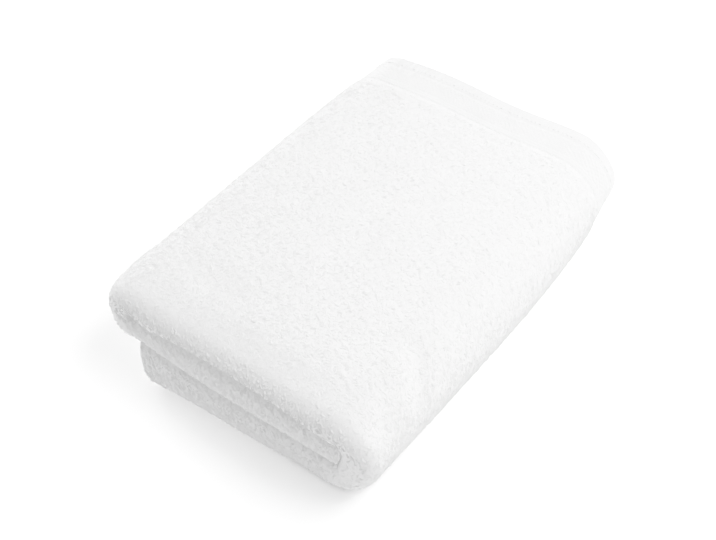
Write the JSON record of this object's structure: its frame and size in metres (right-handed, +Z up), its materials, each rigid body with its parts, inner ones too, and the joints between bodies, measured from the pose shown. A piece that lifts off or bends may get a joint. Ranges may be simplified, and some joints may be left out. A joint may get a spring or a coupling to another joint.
{
  "type": "folded hand towel",
  "caption": "White terry hand towel with flat-woven border hems, folded in quarters along its length and in thirds across, lying flat.",
  "frame": {"origin": "on the supporting surface, under the middle of the folded towel's outline", "axes": "+Z up; +Y along the fold, from the rolled end to the end with the hems; +X across the fold, from the top lobe to the big wrapped fold"},
  "size_m": [0.1844, 0.2629, 0.0645],
  "materials": {
    "terry": "matt looped cotton pile with flat-woven border"
  },
  "bodies": {
    "root": {"towel": "terry"}
  },
  "joints": []
}
